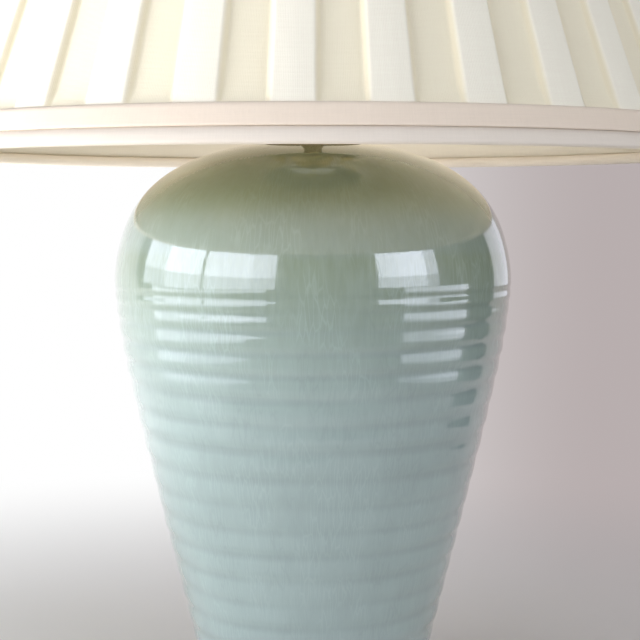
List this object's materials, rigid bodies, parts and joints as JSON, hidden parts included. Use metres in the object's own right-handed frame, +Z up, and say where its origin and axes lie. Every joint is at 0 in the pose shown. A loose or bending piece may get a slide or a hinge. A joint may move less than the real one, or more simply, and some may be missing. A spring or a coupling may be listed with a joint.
{
  "type": "table lamp",
  "caption": "Ginger jar table lamp: ribbed celadon-glazed ceramic jar, brass fittings and harp, box-pleated cream cloth shade that turns, with switch knob, bulb and finial.",
  "frame": {"origin": "centre of the resting face, under the felt ring", "axes": "+Z up along the lamp's axis; -Y is the front, the side of the switch knob; +X is to the right seen from the front; the cord inlet is at the back, +Y"},
  "size_m": [0.4569, 0.457, 0.6171],
  "materials": {
    "celadon_glaze": "glossy crackle glaze",
    "felt": "pressed felt",
    "black_rubber": "matte",
    "zinc_steel": "zinc plated",
    "antique_brass": "dark antique brass, lacquered",
    "brass": "satin brass",
    "fish_paper": "waxed insulating paper",
    "phenolic": "moulded phenolic",
    "aluminium_shell": "thin rolled sheet",
    "knob_plastic": "moulded, fluted",
    "solder": "dull",
    "bulb_envelope": "frosted",
    "filament_metal": "glass stem and wires",
    "frame_enamel": "white enamelled wire",
    "cream_cloth": "smooth woven cloth",
    "lining_cloth": "smooth satin lining",
    "trim_cloth": "bias-cut woven trim"
  },
  "bodies": {
    "root": {"jar_body": "celadon_glaze", "base_felt": "felt", "cord_grommet": "black_rubber", "threaded_rod": "zinc_steel", "bottom_washer": "zinc_steel", "bottom_lock_washer": "zinc_steel", "bottom_nut": "brass", "vase_cap": "antique_brass", "check_ring": "antique_brass", "neck_spindle": "antique_brass", "harp_saddle": "antique_brass", "saddle_nut": "brass", "socket_cap": "brass", "socket_shell": "brass", "socket_liner": "fish_paper", "socket_interior": "phenolic", "terminal_screws": "brass", "socket_screw_shell": "aluminium_shell", "socket_contact": "brass", "harp_bow": "brass"},
    "sleeve_left": {"harp_sleeve_left": "brass"},
    "sleeve_right": {"harp_sleeve_right": "brass"},
    "switch": {"switch_stem": "brass", "switch_knob": "knob_plastic"},
    "bulb_tip": {"bulb_contact": "solder"},
    "bulb": {"bulb_screw_base": "aluminium_shell", "bulb_glass": "bulb_envelope", "bulb_filament": "filament_metal"},
    "shade": {"swivel_stud": "brass", "spider_washer": "frame_enamel", "spider_arms": "frame_enamel", "shade_top_ring": "frame_enamel", "shade_bottom_ring": "frame_enamel", "shade_struts": "frame_enamel", "shade_lining": "lining_cloth", "pleated_cover": "cream_cloth", "lower_binding": "trim_cloth", "lower_band": "trim_cloth", "upper_binding": "trim_cloth", "upper_band": "trim_cloth"},
    "finial_thread": {"finial_insert": "brass"},
    "finial": {"finial_knob": "antique_brass"}
  },
  "joints": [
    {"name": "sleeve_left_slide", "type": "slide", "parent": "root", "child": "sleeve_left", "axis": [0, 0, 1], "range_m": [0, 0.012]},
    {"name": "sleeve_right_slide", "type": "slide", "parent": "root", "child": "sleeve_right", "axis": [0, 0, 1], "range_m": [0, 0.012]},
    {"name": "switch_turn", "type": "hinge", "parent": "root", "child": "switch", "pos_m": [0, 0, 0.39446], "axis": [0, -1, 0], "continuous": true},
    {"name": "bulb_lift", "type": "slide", "parent": "root", "child": "bulb_tip", "axis": [0, 0, 1], "range_m": [0, 0.01815]},
    {"name": "bulb_turn", "type": "hinge", "parent": "bulb_tip", "child": "bulb", "pos_m": [0, 0, 0.42], "axis": [0, 0, 1], "range_deg": [0, 1800]},
    {"name": "shade_turn", "type": "hinge", "parent": "root", "child": "shade", "pos_m": [0, 0, 0.57829], "axis": [0, 0, 1], "continuous": true},
    {"name": "finial_lift", "type": "slide", "parent": "shade", "child": "finial_thread", "axis": [0, 0, 1], "range_m": [0, 0.01128]},
    {"name": "finial_turn", "type": "hinge", "parent": "finial_thread", "child": "finial", "pos_m": [0, 0, 0.58], "axis": [0, 0, 1], "range_deg": [0, 4320]}
  ],
  "couplings": [
    {"joint": "bulb_lift", "follows": "bulb_turn", "m_per_rad": 0.0005775},
    {"joint": "finial_turn", "follows": "finial_lift", "rad_per_m": 6679}
  ]
}
